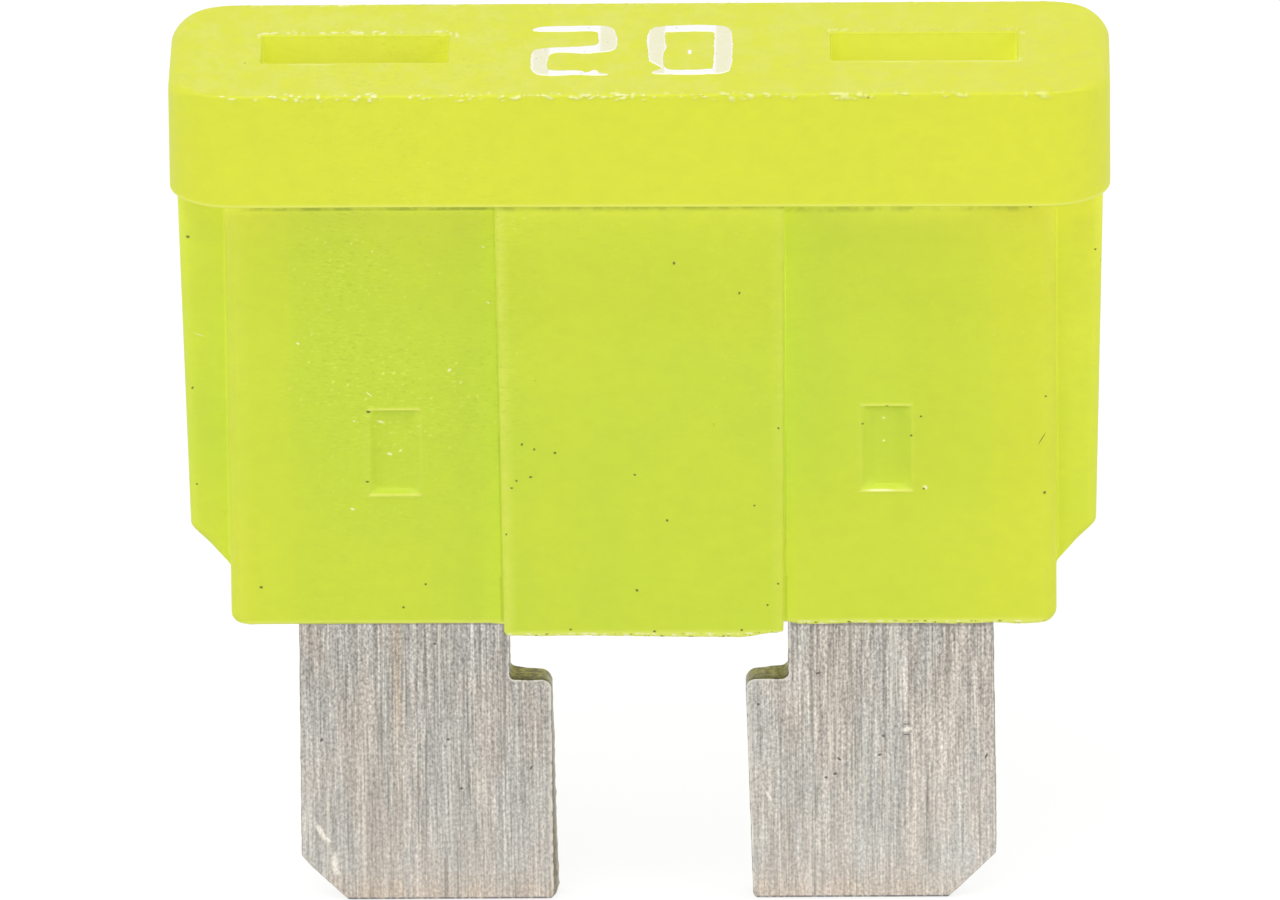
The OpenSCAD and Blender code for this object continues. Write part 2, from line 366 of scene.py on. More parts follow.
def body_ring(z):
    """Plan outline of the body, panel and wings at each height, as x and y with a row for each height,
    and how each column bends: up to 1 on outer corners, down to -1 in hollow ones.

    Going out from the middle of the front it is: the panel's flat, its rounded corner, its hollow root,
    the body's flat, the body's rounded corner, the wing's hollow root, its flat, its rounded corner and
    its end. The foot pulls all of it in along quarter circles, and the root under the head lets it out."""
    z = z[:, None]
    foot, root = falling_inset(z, BODY_FOOT_R), falling_inset(BODY_TOP - z, BODY_ROOT_R)
    panel = PANEL_HALF_LOW + (PANEL_HALF_TOP - PANEL_HALF_LOW) * z / BODY_TOP - foot + root
    panel_y, body_y, wing_y = PANEL_Y - foot + root, BODY_Y - foot + root, WING_Y + root
    half = BODY_HALF - falling_inset(z, BODY_END_R) + root
    reach = wing_reach(z)
    corner, hollow, edge = 0.09, 0.03, 0.2
    wing_hollow, wing_corner = np.minimum(0.07, 0.3 * reach), np.minimum(0.22, 0.5 * reach)
    run = reach - wing_hollow - wing_corner
    columns = np.concatenate([panel + hollow + np.array([[0.03, 0.06]]), BODY_COLUMNS + 0 * z], axis=1)
    flat, wing, end = np.linspace(0, 1, 41)[:-1], np.linspace(0, 1, 9)[1:-1], np.linspace(1, 0, 9)[1:]
    parts = [
        (flat * (panel - corner), -panel_y + 0 * flat, [0] * 38 + [0.3, 0.6]),
        (*arc(panel - corner, -panel_y + corner, corner, -90, 0, 7), [1] * 8),
        (*arc(panel + hollow, -body_y - hollow, hollow, 180, 90, 4), [-1] * 5),
        (columns, -body_y + 0 * columns, [0] * columns.shape[1]),
        (*arc(half - edge, -body_y + edge, edge, -90, 0, 9), [0.35] * 10),
        (*arc(half + wing_hollow, -wing_y - wing_hollow, wing_hollow, 180, 90, 4), [0] * 5),
        (half + wing_hollow + wing * run, -wing_y + 0 * wing, [0] * 7),
        (*arc(half + reach - wing_corner, -wing_y + wing_corner, wing_corner, -90, 0, 8),
         np.linspace(0, 0.6, 9)),
        (half + reach + 0 * end, -(wing_y - wing_corner) * end, [0] * 8),
    ]
    x, y, bend = (np.concatenate([part[k] for part in parts], axis=-1) for k in range(3))
    return whole_ring(x, 1, -1), whole_ring(y, -1, 1), whole_ring(bend)


def head_ring():
    """Head outline from above as a ring: x, y, outward normals, and the radius of its top edge, which
    grows from HEAD_EDGE_R along the front to HEAD_END_R round the ends."""
    straight, side = HEAD_HALF - HEAD_CORNER_R, HEAD_Y - HEAD_CORNER_R
    front, end = np.linspace(0, 1, HEAD_FRONT_STEPS + 1)[:-1], np.linspace(1, 0, 9)[1:]
    corner_x, corner_y = arc(straight, -side, HEAD_CORNER_R, -90, 0, HEAD_CORNER_STEPS)
    x = whole_ring(np.concatenate([front * straight, corner_x, HEAD_HALF + 0 * end]), 1, -1)
    y = whole_ring(np.concatenate([-HEAD_Y + 0 * front, corner_y, -side * end]), -1, 1)
    angle = np.radians(np.concatenate([0 * front, np.linspace(0, 90, HEAD_CORNER_STEPS + 1), 90 + 0 * end]))
    normal = np.stack([whole_ring(np.sin(angle), 1, -1), whole_ring(-np.cos(angle), -1, 1)])
    fold = np.degrees(np.arcsin(np.abs(normal[0])))
    return x, y, normal, HEAD_EDGE_R + (HEAD_END_R - HEAD_EDGE_R) * smooth_step(fold, 25, 85)


def flash(along, across, seed):
    """Burrs of torn plastic on an edge, from 0 to 1: two layers of fine noise cut off below a level that
    wanders along the edge, so that they gather in some places, and rises with the square of the distance
    across it, so that they get rarer."""
    size = 0.075
    fine = value_noise(along, across, size, size * 0.7, seed) * 0.6
    fine = fine + value_noise(along, across, size * 0.45, size * 0.4, seed + 1) * 0.4
    coarse, middling, bend = (value_noise(along, 0 * across, length, 1.0, seed + k)
                              for length, k in ((0.75, 2), (0.22, 4), (0.3, 3)))
    level = 0.74 - 0.2 * coarse - 0.14 * middling + 0.16 * ((across + 0.06 * (bend - 0.5)) / 0.1) ** 2
    return smooth_step(fine, level, level + 0.12)


def lip_height(x):
    """Height of the head's lip: it slopes down to the right from BODY_TOP, as moulded."""
    return BODY_TOP - 0.0037 * np.clip(x + 4.6, 0.0, 15.0)


def shelter(x, y, z):
    """Painted light: how much the body's colour is lightened, to offset the shade that falls where a point is
    closed in by what stands out beside it. For each wall it is half of 1 - d / sqrt(d^2 + h^2), where d is
    its distance and h how far it stands out of the point's face. To this come painted light against the
    shade under the lip, fading over 0.12 mm below it, the same beside the panel's right edge, fading over
    0.15 mm, and painted tones of light and shade on the body's top, the right staked spot and the wings."""
    out = np.abs(y)
    off_wing = out > WING_Y + 0.1
    off_panel = out < PANEL_Y - 0.1
    total = 0.0
    for distance, wall, share in ((BODY_TOP - z, HEAD_Y - out, 1.0),
                                  (np.abs(x) - PANEL_HALF_TOP, PANEL_Y - out, 0.9),
                                  (np.abs(x) - BODY_HALF, BODY_Y - out, 0.3)):
        d, h = np.maximum(distance, 0.0), np.maximum(wall, 0.0)
        total = total + share * 0.5 * (1 - d / np.sqrt(d * d + h * h + 1e-9)) * (distance > -0.02)
    below = np.maximum(lip_height(x) - 0.42 * (HEAD_Y - out) - z, 0.0)
    right = (1 + smooth_step(x, 3.0, 5.0)) * (1 - 0.9 * smooth_step(x, 6.0, 7.8))
    total = total + 0.5 * right * np.exp(-below / 0.12) * off_wing
    at_spot = smooth_step(x, 4.8, 5.8) * smooth_step(z, 2.2, 3.5) * smooth_step(z, 7.9, 6.9)
    total = total + (0.13 * smooth_step(z, 8.25, 8.9) - 0.055 * at_spot) * (off_wing & off_panel)
    on_wing = (np.abs(x) > BODY_HALF + 0.01) & (out < WING_Y + 0.1)
    total = total + (0.13 + 0.06 * smooth_step(z, 6.5, 8.5)) * on_wing - 0.07 * smooth_step(z, 6.2, 7.2)
    beside = np.exp(-np.maximum(x - PANEL_HALF_TOP, 0.0) / 0.15) * off_panel * (x > PANEL_HALF_LOW - 0.02)
    return total + (0.1 + 0.18 * smooth_step(z, 1.5, 4.5)) * beside * smooth_step(z, 9.0, 7.0)


def add_body(skin):
    """Body, panel and wings: the plan ring of body_ring carried up through the heights of BODY_ROWS,
    with the staked spots pressed into the flats and the foot's edge slightly uneven."""
    x, y, bend = body_ring(BODY_ROWS)
    z = BODY_ROWS[:, None] + 0 * x
    dx = STAKE_HALF_X - np.abs(np.abs(x - STAKE_SHIFT) - LEG_MIDDLE)
    dz = STAKE_HALF_Z - np.abs(z - STAKE_Z - 0.045 * (x > 0))
    depth = np.minimum(dx, dz)
    on_flat = np.abs(y) < BODY_Y + 0.01
    pressed = STAKE_SEEN * np.clip(dz / 0.09, 0, 1) * smooth_step(dx, 0.0, 0.22)
    ridge = 0.015 * np.exp(-((depth + 0.02) / 0.03) ** 2) * (dz < dx)
    y = y + np.sign(y) * np.where(on_flat, ridge - pressed, 0.0)
    foot = smooth_step(z, 0.13, 0.02)
    coarse, fine = (value_noise(x, np.sign(y), size, 1.0, seed) for size, seed in ((0.7, 41), (0.16, 42)))
    tilt = 0.1 * smooth_step(x, 1.9, 2.85) - 0.055 * smooth_step(x, -1.6, 1.6) - 0.02
    beside = 0.015 - 0.05 * smooth_step(x, 2.9, 3.2)
    sag = 0.03 * (coarse + 0.5 * fine - 0.75) * (np.abs(x) < BODY_HALF - 0.3)
    sag = sag + beside + (tilt - beside) * smooth_step(np.abs(x), 2.97, 2.9)
    z = z + sag * np.exp(-(z / BODY_FOOT_R) ** 2)
    # Painted highlight along the staked spots' rims, mostly on their top and bottom
    rim = np.exp(-((depth + 0.01) / 0.03) ** 2) * on_flat * np.where(dz < dx, 1.0, 0.15)
    # Painted shade: a dark band on the body just below where the head's lip hides it from a little above,
    # weaker from the panel rightwards and fading out near the ends
    shade = lip_height(x) - 0.42 * (HEAD_Y - np.abs(y)) - 0.02
    shade_under_head = smooth_step(z, shade - 0.03, shade - 0.005) * (0.7 - 0.15 * smooth_step(x, -3.1, -2.8))
    shade_under_head = shade_under_head * smooth_step(BODY_HALF - 0.1 - np.abs(x), 0.0, 0.9)
    # Painted shade in the hollow roots on the left, stronger higher up
    crease_shade = np.clip(-bend, 0, 1) * np.where(x < 0, 0.35, 0.0) * (0.3 + 0.7 * smooth_step(z, 1.0, 7.0))
    # Painted highlights on outer corners; painted light against the shade of corners, more inside the staked
    # spots near their top and bottom walls
    skin.grid(x, y, z, edge=np.clip(bend, 0, 1), foot=foot, rim=rim, root=np.maximum(crease_shade, shade_under_head),
              shelter=shelter(x, y, z) + 0.25 * np.exp(-np.abs(dz) / 0.15) * (depth > 0.03),
              stake=np.clip(depth / 0.06 + 0.5, 0, 1) * on_flat)
    outer = np.column_stack([x[0], y[0], z[0]])
    plan = outer[:, :2]
    inner = at_height(plan * (1 - 0.02 / np.maximum(np.abs(plan), 0.3)), 0.0)
    skin.wall(inner, outer)
    return inner, np.column_stack([x[-1], y[-1], z[-1]])


def add_head(skin):
    """Head: its outline from above carried up through a small round lip, the upright side and the top
    edge, whose radius changes along the outline. Burrs stand on the edge between the front and the top.
    Each row says how far in it lies, how high, and how far across the edge from its middle."""
    x, y, normal, edge_r = head_ring()
    foot, high, half_arc = lip_height(x), HEAD_TOP - edge_r, edge_r * math.pi / 4
    zero, far = 0 * x, 9.0 + 0 * x
    rows = [(HEAD_LIP_R * (1 - np.cos(phi)) + zero, foot + HEAD_LIP_R * (1 - np.sin(phi)), far)
            for phi in np.radians(np.linspace(90, 0, 6))]
    low = foot + HEAD_LIP_R
    rows += [(zero, low + (high - low) * t, far)
             for t in (0.006, 0.014, 0.022, 0.032, 0.05, 0.15, 0.3, 0.5, 0.7, 0.85)]
    rows += [(zero, high - below, -below - half_arc) for below in (0.17, 0.13, 0.09, 0.06, 0.03)]
    rows += [(edge_r * (1 - np.cos(phi)), HEAD_TOP - edge_r * (1 - np.sin(phi)), edge_r * (phi - math.pi / 4))
             for phi in np.radians(np.linspace(0, 90, 11))]
    rows += [(edge_r + beyond, HEAD_TOP + zero, beyond + half_arc) for beyond in (0.03, 0.06, 0.1, 0.15, 0.2)]
    inset, z, across = np.swapaxes(rows, 0, 1)
    in_front = normal[1] < 0
    torn = flash(x + np.where(in_front, 40.0, 80.0) + 0 * inset, across, 11) * (np.abs(normal[1]) > 0.6)
    torn = torn * smooth_step(np.abs(x), HEAD_HALF - 0.8, HEAD_HALF - 1.3)
    lift = np.where(in_front, 0.03, 0.008) * torn
    slope = np.clip((across + half_arc) / (edge_r * math.pi / 2), 0, 1) * math.pi / 2
    inset, z = inset - lift * np.cos(slope), z + lift * np.sin(slope)
    # Painted highlight: a light line along the lip
    lip = np.exp(-((z - foot - 0.037) / 0.028) ** 2)
    chip = torn * np.clip(0.75 - 0.05 * x, 0.35, 1.2)
    x, y = x - normal[0] * inset, y - normal[1] * inset
    skin.grid(x, y, z, lip=lip, chip=chip)
    return [np.column_stack([x[k], y[k], z[k]]) for k in (0, -1)]


def add_slot(skin, side):
    """Test slot: a rounded rectangle carried down from the top face through a small round edge to its
    floor, which has the pocket's mouth in it. Burrs stand on its back edge and the front edge is wavy."""
    corners = [(SLOT_INNER, -SLOT_Y), (SLOT_OUTER, -SLOT_Y), (SLOT_OUTER, SLOT_BACK), (SLOT_INNER, SLOT_BACK)]
    outline = rounded_outline(corners, [0.06] * 4, 0.045)
    if side < 0:
        outline = outline[::-1] * [-1, 1]
    rows = [(beyond, 0.0) for beyond in (0.3, 0.26, 0.22, 0.18, 0.145, 0.11, 0.08)]
    rows += [(SLOT_EDGE_R * (1 - math.cos(p)), -SLOT_EDGE_R * (1 - math.sin(p)))
             for p in np.radians(np.linspace(90, 0, 6))]
    rows += [(0.0, -SLOT_EDGE_R - d) for d in (0.02, 0.08, 0.3, 0.6)] + [(0.0, TAB_TOP - HEAD_TOP)]
    out, down = np.array(rows).T[:, :, None]
    x, y = outline.T[:, None] + outline_normals(outline)[1].T[:, None] * out
    across = out + down
    at_back, at_front = smooth_step(outline[:, 1], 0.6, 0.78), smooth_step(-outline[:, 1], 0.54, 0.7)
    torn = flash(x + 20 * side, across - 0.12, 21) * at_back * (down > -0.2)
    wave = value_noise(x + 20 * side, 0 * x, 0.55, 1.0, 31) - 0.5
    near = at_front * np.exp(-((across - 0.02) / 0.12) ** 2)
    y = y - (0.05 * wave + 0.015) * near
    z = HEAD_TOP + down + 0.03 * torn + 0.012 * near * (down > -0.06)
    z[0] = HEAD_TOP
    # Painted highlight: a light line along the slot's wavy front edge, also given at half strength to the
    # chip mark
    line = at_front * np.exp(-((across - 0.05) / 0.03) ** 2) * smooth_step(wave, -0.3, 0.3)
    # Painted light: below the edge the walls are painted a bright clear yellow, for light through the thin
    # walls, and are painted darker just under the edge and lighter further down
    inner = np.clip((-down - 0.02) / 0.03, 0, 1)
    level = inner * ((0.29 + 0.05 * side) * np.clip(-down / 0.62, 0, 1) - 0.13)
    skin.grid(x, y, z, chip=torn * (0.75 - 0.3 * side) + 0.5 * line, lip=line, slot=inner, shelter=level)
    low, high = sorted((side * (TAB_INNER - 0.05), side * POCKET_HALF))
    mouth = np.array([(low, -POCKET_Y), (high, -POCKET_Y), (high, POCKET_Y), (low, POCKET_Y)])
    skin.fill([at_height(outline, TAB_TOP), at_height(mouth, TAB_TOP)], [0, 1])
    # The pocket's mouth walls are painted the slots' bright clear yellow too
    skin.wall(at_height(mouth, TAB_TOP), at_height(mouth, POCKET_TOP), slot=1.0)
    return np.column_stack([x[0], y[0], z[0]])


def add_cavity(skin):
    """The space inside: a pocket for the strip that runs through a wider chamber round the link. Plan
    outlines are carried up from the underside and closed by flat roofs at their own heights."""
    a, b, c = POCKET_HALF, TAB_INNER - 0.05, CHAMBER_HALF
    h, w = POCKET_Y, CHAMBER_Y
    front = [(-a, -h), (-b, -h), (-c, -h), (-c, -w), (c, -w), (c, -h), (b, -h), (a, -h)]
    cross = np.array(front + [(-x, -y) for x, y in front])
    strip = cross[np.abs(cross[:, 1]) < w]
    roof = strip[np.abs(strip[:, 0]) < a]
    mouth = at_height(offset_outline(cross, 0.05), 0.0)
    skin.wall(mouth, at_height(cross, 0.06), at_height(cross, CHAMBER_TOP), flip=True)
    skin.fill([at_height(cross, CHAMBER_TOP), at_height(strip, CHAMBER_TOP)], [0, 1], flip=True)
    skin.wall(at_height(strip, CHAMBER_TOP), at_height(strip, POCKET_TOP), flip=True)
    skin.fill([at_height(roof, POCKET_TOP)], [0, 1], flip=True)
    return mouth


def make_housing():
    """The whole moulded housing as one closed mesh."""
    skin = Skin(HOUSING_MARKS)
    foot, root = add_body(skin)
    lip, top = add_head(skin)
    rims = [add_slot(skin, side) for side in (1, -1)]
    skin.fill([foot, add_cavity(skin)], [0, 1], flip=True)
    skin.fill([lip, root], [0, 1], flip=True)
    skin.fill([top, *rims], [0, 1])
    return skin.make("moulded_housing", 38)


def add_slab(skin, outline, profile, holes=()):
    """A flat stamping: the outline carried from its back face to its front face, moved in by the
    profile's inset at each depth, then both faces filled. Outlines are in X and Z, profile rows are those
    of stamped_edge, and holes are outlines that run clockwise."""
    depth, inset, bare, burr = np.array(profile).T
    fronts, backs = [], []
    for loop in (outline, *holes):
        rings = [np.insert(offset_outline(loop, -far), 1, y, axis=1) for y, far in zip(depth, inset)]
        skin.wall(*rings, side=bare[:, None], burr=burr[:, None])
        backs.append(rings[0])
        fronts.append(rings[-1])
    skin.fill(fronts, [0, 2])
    skin.fill(backs, [0, 2], flip=True)


def stamped_edge(half, roll, lean, keep):
    """Edge of a stamped sheet from back to front, as (depth, inset, side, burr) rows: a square back edge,
    a cut side that leans in by lean mm, and a front edge rolled over with radius roll, where the burr is."""
    nick = 0.012
    rows = [(half, keep, 0, 0), (half, nick, 1, 0), (half - nick, 0.0, 1, 0)]
    rows += [(half - nick - (2 * half - nick - roll) * t, lean * t, 1, 0) for t in (0.25, 0.5, 0.75)]
    for p in np.radians(np.linspace(0, 90, 5)):
        c, s = math.cos(p), math.sin(p)
        rows.append((-half + roll * (1 - s), lean + roll * (1 - c), c, s))
    return rows + [(-half, lean + roll + 0.6 * keep, 0, 0.5), (-half, lean + roll + keep, 0, 0)]


def torn_edges(points):
    """The strip's points with its shoulders pulled down at the back where the punch drew them, the left
    blade's inner side torn out by up to 0.11 mm towards the back and the tip, that blade 0.06 mm wider
    inwards, both blades' outer edges at a slight slant, and all moved into place."""
    x, y, z = points.T
    back = (y + STRIP_HALF) / (2 * STRIP_HALF)
    from_neck = np.clip((NECK_INNER - np.abs(x)) / (NECK_INNER - BLADE_INNER), 0, 1)
    on_shoulder = (np.abs(z - SHOULDER_Z) < 0.22) & (np.abs(x) < NECK_INNER + 0.05)
    lump = value_noise(x, y, 0.2, 0.2, 71) - 0.5
    z = z + on_shoulder * back * (0.04 - 0.1 * from_neck + 0.03 * lump)
    tear = np.clip((SHOULDER_Z - z) / 4.9, 0, 1) * np.clip(back / 0.3, 0, 1)
    tear = tear * (0.85 + 0.5 * (value_noise(z, y, 0.12, 0.3, 72) - 0.5))
    x = x + 0.11 * tear * ((x < 0) & (x > -BLADE_INNER - 0.15))
    outer = smooth_step(np.abs(x), 5.0, 6.5)
    low = np.clip(-z / 5.0, 0, 1)
    wider = 0.062 * (1 - outer) * smooth_step(z, 1.5, 0.5)
    left = wider - outer * (0.02 * low + 0.035 * smooth_step(z, -5.8, -6.1))
    x = x + np.where(x > 0, outer * (0.05 * low - 0.045), left)
    return np.stack([x + STRIP_SHIFT, y, np.maximum(z, BLADE_LOW + 0.03)], axis=1)


def make_strip():
    """The stamped strip: two legs with blades and test tabs, and the thinner link between them. The right
    blade's inner edge is cut at a slight slant, from low to high."""
    skin = Skin(("side", "burr"))
    a, b = WINDOW_HALF_X, WINDOW_HALF_Z
    window = [LEG_MIDDLE, STAKE_Z] + np.array([(-a, -b), (-a, b), (a, b), (a, -b)])
    window = rounded_outline(window, [0.08] * 4, 1.0)
    for side, low, high in ((1, 2.125, 2.0), (-1, 2.03, 2.03)):
        corners = [(low, BLADE_LOW), (BLADE_OUTER - BLADE_CHAMFER, BLADE_LOW),
                   (BLADE_OUTER, BLADE_LOW + BLADE_CHAMFER), (BLADE_OUTER, TAB_TOP), (TAB_INNER, TAB_TOP),
                   (TAB_INNER, LEG_TOP), (NECK_INNER, LEG_TOP), (NECK_INNER, SHOULDER_Z), (high, SHOULDER_Z)]
        radii = [0.15, 0.1, 0.1, 0.18, 0.18, 0.15, 0.18, 0.12, SHOULDER_R]
        outline = roughened(rounded_outline(corners, radii, 0.12), 0.008, 61 + side)
        loops = [outline, window] if side > 0 else [loop[::-1] * [-1, 1] for loop in (outline, window)]
        add_slab(skin, loops[0], stamped_edge(STRIP_HALF, 0.02, 0.01, 0.04), loops[1:])
    top = np.column_stack(arc(0, LINK_BEND_Z, LINK_BEND_R, 0, 180, 24))
    foot = np.column_stack(arc(LINK_BEND_R + LINK_FOOT_R, LINK_Z + LINK_FOOT_R, LINK_FOOT_R, 270, 180, 9))
    right = np.concatenate([[[NECK_INNER + 0.3, LINK_Z]], foot])
    path = np.concatenate([right, top, right[::-1] * [-1, 1]])
    step = np.gradient(path, axis=0)
    step /= np.linalg.norm(step, axis=1)[:, None]
    reach = np.stack([step[:, 1], -step[:, 0]], axis=1) * (LINK_WIDTH / 2)
    outline = np.concatenate([path + reach, (path - reach)[::-1]])
    add_slab(skin, outline, stamped_edge(LINK_HALF_THICK, 0.05, 0.02, 0.03))
    skin.points = [torn_edges(points) for points in skin.points]
    return skin.make("stamped_strip", 38)


# Rows of the ink's edge: height, share of the edge's width, and the mark core
INK_ROWS = [(-INK_SUNK, 0.0, 0.0), (0.0, 0.0, 0.0), (INK * 0.6, 0.1, 0.0), (INK * 0.9, 0.35, 0.1),
            (INK, 0.7, 0.5), (INK, 1.0, 1.0)]


def add_ink(skin, outline, holes=(), edge=0.03):
    """A printed shape on the head's top: its outline carried up through a round edge, edge mm wide, to
    a flat top. The mark core grows to 1 across that edge."""
    tops, feet = [], []
    for loop in (outline, *holes):
        normal = outline_normals(loop)[1]
        rings = [at_height(loop - normal * edge * inset, HEAD_TOP + z) for z, inset, _ in INK_ROWS]
        skin.wall(*rings, core=np.array(INK_ROWS)[:, 2:])
        tops.append(rings[-1])
        feet.append(rings[0])
    skin.fill(tops, [0, 1], core=1.0)
    skin.fill(feet, [0, 1], flip=True)


# Printed shapes in plan, anticlockwise: the 2, its worn tail, the 0 with its broken lower left corner and
# the dot in it. The opening of the 0 runs clockwise.
TWO = [(-2.16, 1.0), (-1.9, 0.945), (-1.4, 0.945), (-0.95, 0.96), (-0.84, 0.86), (-0.82, 0.35), (-0.92, 0.16),
       (-1.24, 0.1), (-1.8, 0.03), (-2.09, -0.08), (-2.18, -0.4), (-2.17, -1.1), (-2.05, -1.4), (-1.8, -1.48),
       (-1.28, -1.45), (-1.13, -1.41), (-1.09, -1.31), (-1.22, -1.23), (-1.69, -1.215), (-1.84, -1.11),
       (-1.86, -0.75), (-1.79, -0.33), (-1.62, -0.2), (-1.12, -0.27), (-0.66, -0.18), (-0.5, -0.07),
       (-0.44, 0.15), (-0.45, 0.6), (-0.49, 0.98), (-0.64, 1.19), (-0.91, 1.25), (-1.4, 1.24), (-1.9, 1.21),
       (-2.1, 1.13)]
TAIL = [(-1.17, -1.39), (-1.12, -1.45), (-0.9, -1.48), (-0.65, -1.47), (-0.61, -1.43), (-0.66, -1.4),
        (-0.78, -1.37), (-0.82, -1.26), (-0.9, -1.2), (-0.97, -1.28), (-1.08, -1.35)]
NOUGHT = [(0.18, 0.8), (0.17, 0.35), (0.19, -0.05), (0.2, -0.45), (0.24, -0.72), (0.36, -0.9), (0.45, -1.03),
          (0.44, -1.18), (0.33, -1.26), (0.28, -1.34), (0.36, -1.41), (0.76, -1.45), (1.05, -1.47),
          (1.34, -1.44), (1.63, -1.41), (1.79, -1.33), (1.88, -1.12), (1.9, -0.5), (1.91, 0.3), (1.87, 0.92),
          (1.78, 1.12), (1.6, 1.23), (1.08, 1.26), (0.5, 1.21), (0.27, 1.08)]
OPENING = [(0.54, 0.84), (0.67, 0.9), (1.23, 0.92), (1.46, 0.9), (1.53, 0.75), (1.53, -0.21), (1.52, -1.08),
           (1.43, -1.17), (1.1, -1.21), (0.72, -1.22), (0.56, -1.1), (0.5, -0.74), (0.51, -0.3), (0.56, 0.03),
           (0.54, 0.41)]
DOT = [(1.0, -0.22), (1.01, -0.29), (1.04, -0.33), (1.07, -0.29), (1.08, -0.22), (1.07, -0.15), (1.04, -0.11),
       (1.01, -0.15)]


def make_digits():
    """The printed 2 and 0: outlines in plan with uneven strokes, raised by the thickness of the ink."""
    skin = Skin(("core",))
    two, nought, opening = (roughened(smooth_loop(shape, 0.04), amount, seed) for shape, amount, seed in (
        (TWO, 0.016, 51), (NOUGHT, 0.016, 52), (OPENING, 0.014, 53)))
    add_ink(skin, two)
    add_ink(skin, smooth_loop(TAIL, 0.03), edge=0.018)
    add_ink(skin, nought, [opening])
    add_ink(skin, smooth_loop(DOT, 0.025), edge=0.012)
    skin.points = [points + [INK_SHIFT, 0, 0] for points in skin.points]
    return skin.make("printed_digits", 60)


def linear(code):
    """An sRGB hex colour as the linear colour with alpha that Blender's sockets take."""
    parts = [int(code[k:k + 2], 16) / 255 for k in (1, 3, 5)]
    return [c / 12.92 if c <= 0.04045 else ((c + 0.055) / 1.055) ** 2.4 for c in parts] + [1.0]


def add_node(tree, kind, *values, **named):
    """Adds a node. Values go to its inputs in order. A named value goes to the input of that name if the
    name starts with a capital, and to the setting if not. Each input takes a value, a hex colour, a
    socket, or a node, whose first output that is in use is linked."""
    made = tree.nodes.new("ShaderNode" + kind)
    inputs = dict(enumerate(values))
    for name, value in named.items():
        if name[0].isupper():
            inputs[name.replace("_", " ")] = value
        else:
            setattr(made, name, value)
    for key, value in inputs.items():
        if isinstance(key, int):
            socket = made.inputs[key]
        else:
            socket = next(s for s in made.inputs if s.enabled and s.name == key)
        if isinstance(value, bpy.types.Node):
            value = next(s for s in value.outputs if s.enabled)
        if isinstance(value, bpy.types.NodeSocket):
            tree.links.new(value, socket)
        else:
            socket.default_value = linear(value) if isinstance(value, str) else value
    return made


SMOOTH = {"interpolation_type": "SMOOTHSTEP"}
AT_ORIGIN = (0, 0, 0)


def new_material(name):
    """An empty node material, a way to add nodes to it, and its object coordinates in mm."""
    material = bpy.data.materials.new(name)
    material.use_nodes = True
    material.node_tree.nodes.clear()
    put = partial(add_node, material.node_tree)
    at = put("TexCoord").outputs["Object"]
    return material, put, put("VectorMath", at, Scale=1 / MM, operation="SCALE")


def placed_marks(put, flat, marks, soft=0.5):
    """Oval marks on a plane, 1 inside and 0 outside. Each is (across, up, half length, half width, turn
    in degrees): the plane is turned by dot products with the oval's two directions, then moved and scaled
    until the oval is a unit circle. The least distance to any of the circles gives the shade."""
    turned = {}
    nearest = 9.0
    for across, up, length, width, turn in marks:
        c, s = math.cos(math.radians(turn)), math.sin(math.radians(turn))
        if turn not in turned:
            turned[turn] = put("CombineXYZ", *(put("VectorMath", flat, way, operation="DOT_PRODUCT")
                                               for way in ((c, s, 0), (-s, c, 0))))
        stretch = (1 / length, 1 / width, 0)
        shift = (-(across * c + up * s) / length, (across * s - up * c) / width, 0)
        spread = put("VectorMath", turned[turn], stretch, shift, operation="MULTIPLY_ADD")
        nearest = put("Math", put("VectorMath", spread, operation="LENGTH"), nearest, operation="MINIMUM")
    return put("MapRange", nearest, 1.0 - soft, 1.0 + soft, 1.0, 0.0, **SMOOTH)


def scattered_marks(put, place, per_mm, turn, radius, share, shift):
    """Small marks strewn at random: a cell whose random number falls under share holds one dot, drawn out
    into a dash where the plane is stretched. The dots' strengths differ too."""
    turned = put("VectorRotate", Vector=place, Angle=math.radians(turn), rotation_type="Y_AXIS")
    spread = put("Mapping", Vector=turned, Location=(shift, shift, shift), Scale=per_mm)
    cells = put("TexVoronoi", Vector=spread, Scale=1.0).outputs
    chance = put("SeparateColor", cells["Color"]).outputs
    strength = put("MapRange", chance[1], 0.0, 1.0, 0.25, 1.0)
    dot = put("MapRange", cells["Distance"], radius * 0.4, radius, 1.0, 0.0, **SMOOTH)
    for factor in (put("Math", chance[0], share, operation="LESS_THAN"), strength):
        dot = put("Math", dot, factor, operation="MULTIPLY")
    return dot


